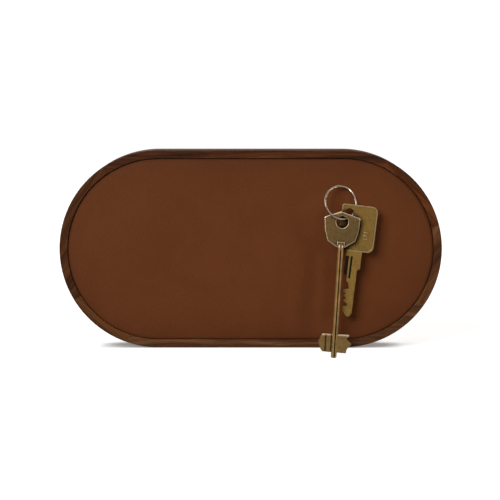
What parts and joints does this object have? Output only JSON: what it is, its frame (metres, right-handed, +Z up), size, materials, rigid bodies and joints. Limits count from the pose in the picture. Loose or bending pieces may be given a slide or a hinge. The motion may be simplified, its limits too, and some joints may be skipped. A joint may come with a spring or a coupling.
{
  "type": "magnetic key panel",
  "caption": "Stadium-shaped walnut and leather key panel for a wall or shelf; hidden magnets hold a thin split ring with two hanging brass keys.",
  "frame": {"origin": "middle of the panel's back, on the wall, midway between the entry holes of the two keyhole plates", "axes": "+X right along the panel's length, +Y into the wall (the leather faces -Y), +Z up"},
  "size_m": [0.2386, 0.0343, 0.129],
  "materials": {
    "walnut": "oiled, satin",
    "birch": "bare",
    "plywood": "bare, sanded",
    "leather": "smooth waxed hide, satin",
    "magnet_nickel": "nickel plate",
    "mild_steel": "mill finish",
    "zinc_steel": "zinc plate",
    "screw_steel": "zinc plate",
    "ring_nickel": "nickel plate, worn",
    "front_key_brass": "dull, bright worn edges",
    "rear_key_brass": "satin, bright worn edges"
  },
  "bodies": {
    "panel": {"back_board": "plywood", "back_board_screws": "screw_steel", "face_board": "plywood", "keeper_screws": "screw_steel", "keyhole_plate_left": "zinc_steel", "keyhole_plate_right": "zinc_steel", "keyhole_plate_screws": "screw_steel", "leather_face": "leather", "magnet_1": "magnet_nickel", "magnet_2": "magnet_nickel", "magnet_3": "magnet_nickel", "magnet_4": "magnet_nickel", "magnet_5": "magnet_nickel", "rim_bottom_rail": "walnut", "rim_left_lower_bow": "walnut", "rim_left_upper_bow": "walnut", "rim_right_lower_bow": "walnut", "rim_right_upper_bow": "walnut", "rim_tongue_1": "birch", "rim_tongue_2": "birch", "rim_tongue_3": "birch", "rim_tongue_4": "birch", "rim_tongue_5": "birch", "rim_tongue_6": "birch", "rim_top_rail": "walnut", "steel_keeper_strip": "mild_steel", "stretcher_left": "plywood", "stretcher_right": "plywood"},
    "ring": {"split_ring": "ring_nickel"},
    "front_key": {"front_key": "front_key_brass"},
    "rear_key": {"rear_key": "rear_key_brass"}
  },
  "joints": [
    {"name": "ring_pull", "type": "slide", "parent": "panel", "child": "ring", "axis": [0, -1, 0], "range_m": [0, 0.05]},
    {"name": "front_key_swing", "type": "hinge", "parent": "ring", "child": "front_key", "pos_m": [0.0566, -0.0317, 0.01765], "axis": [0, 1, 0], "range_deg": [-15, 15]},
    {"name": "rear_key_swing", "type": "hinge", "parent": "ring", "child": "rear_key", "pos_m": [0.06105, -0.0287, 0.0226], "axis": [0, 1, 0], "range_deg": [-15, 15]}
  ]
}
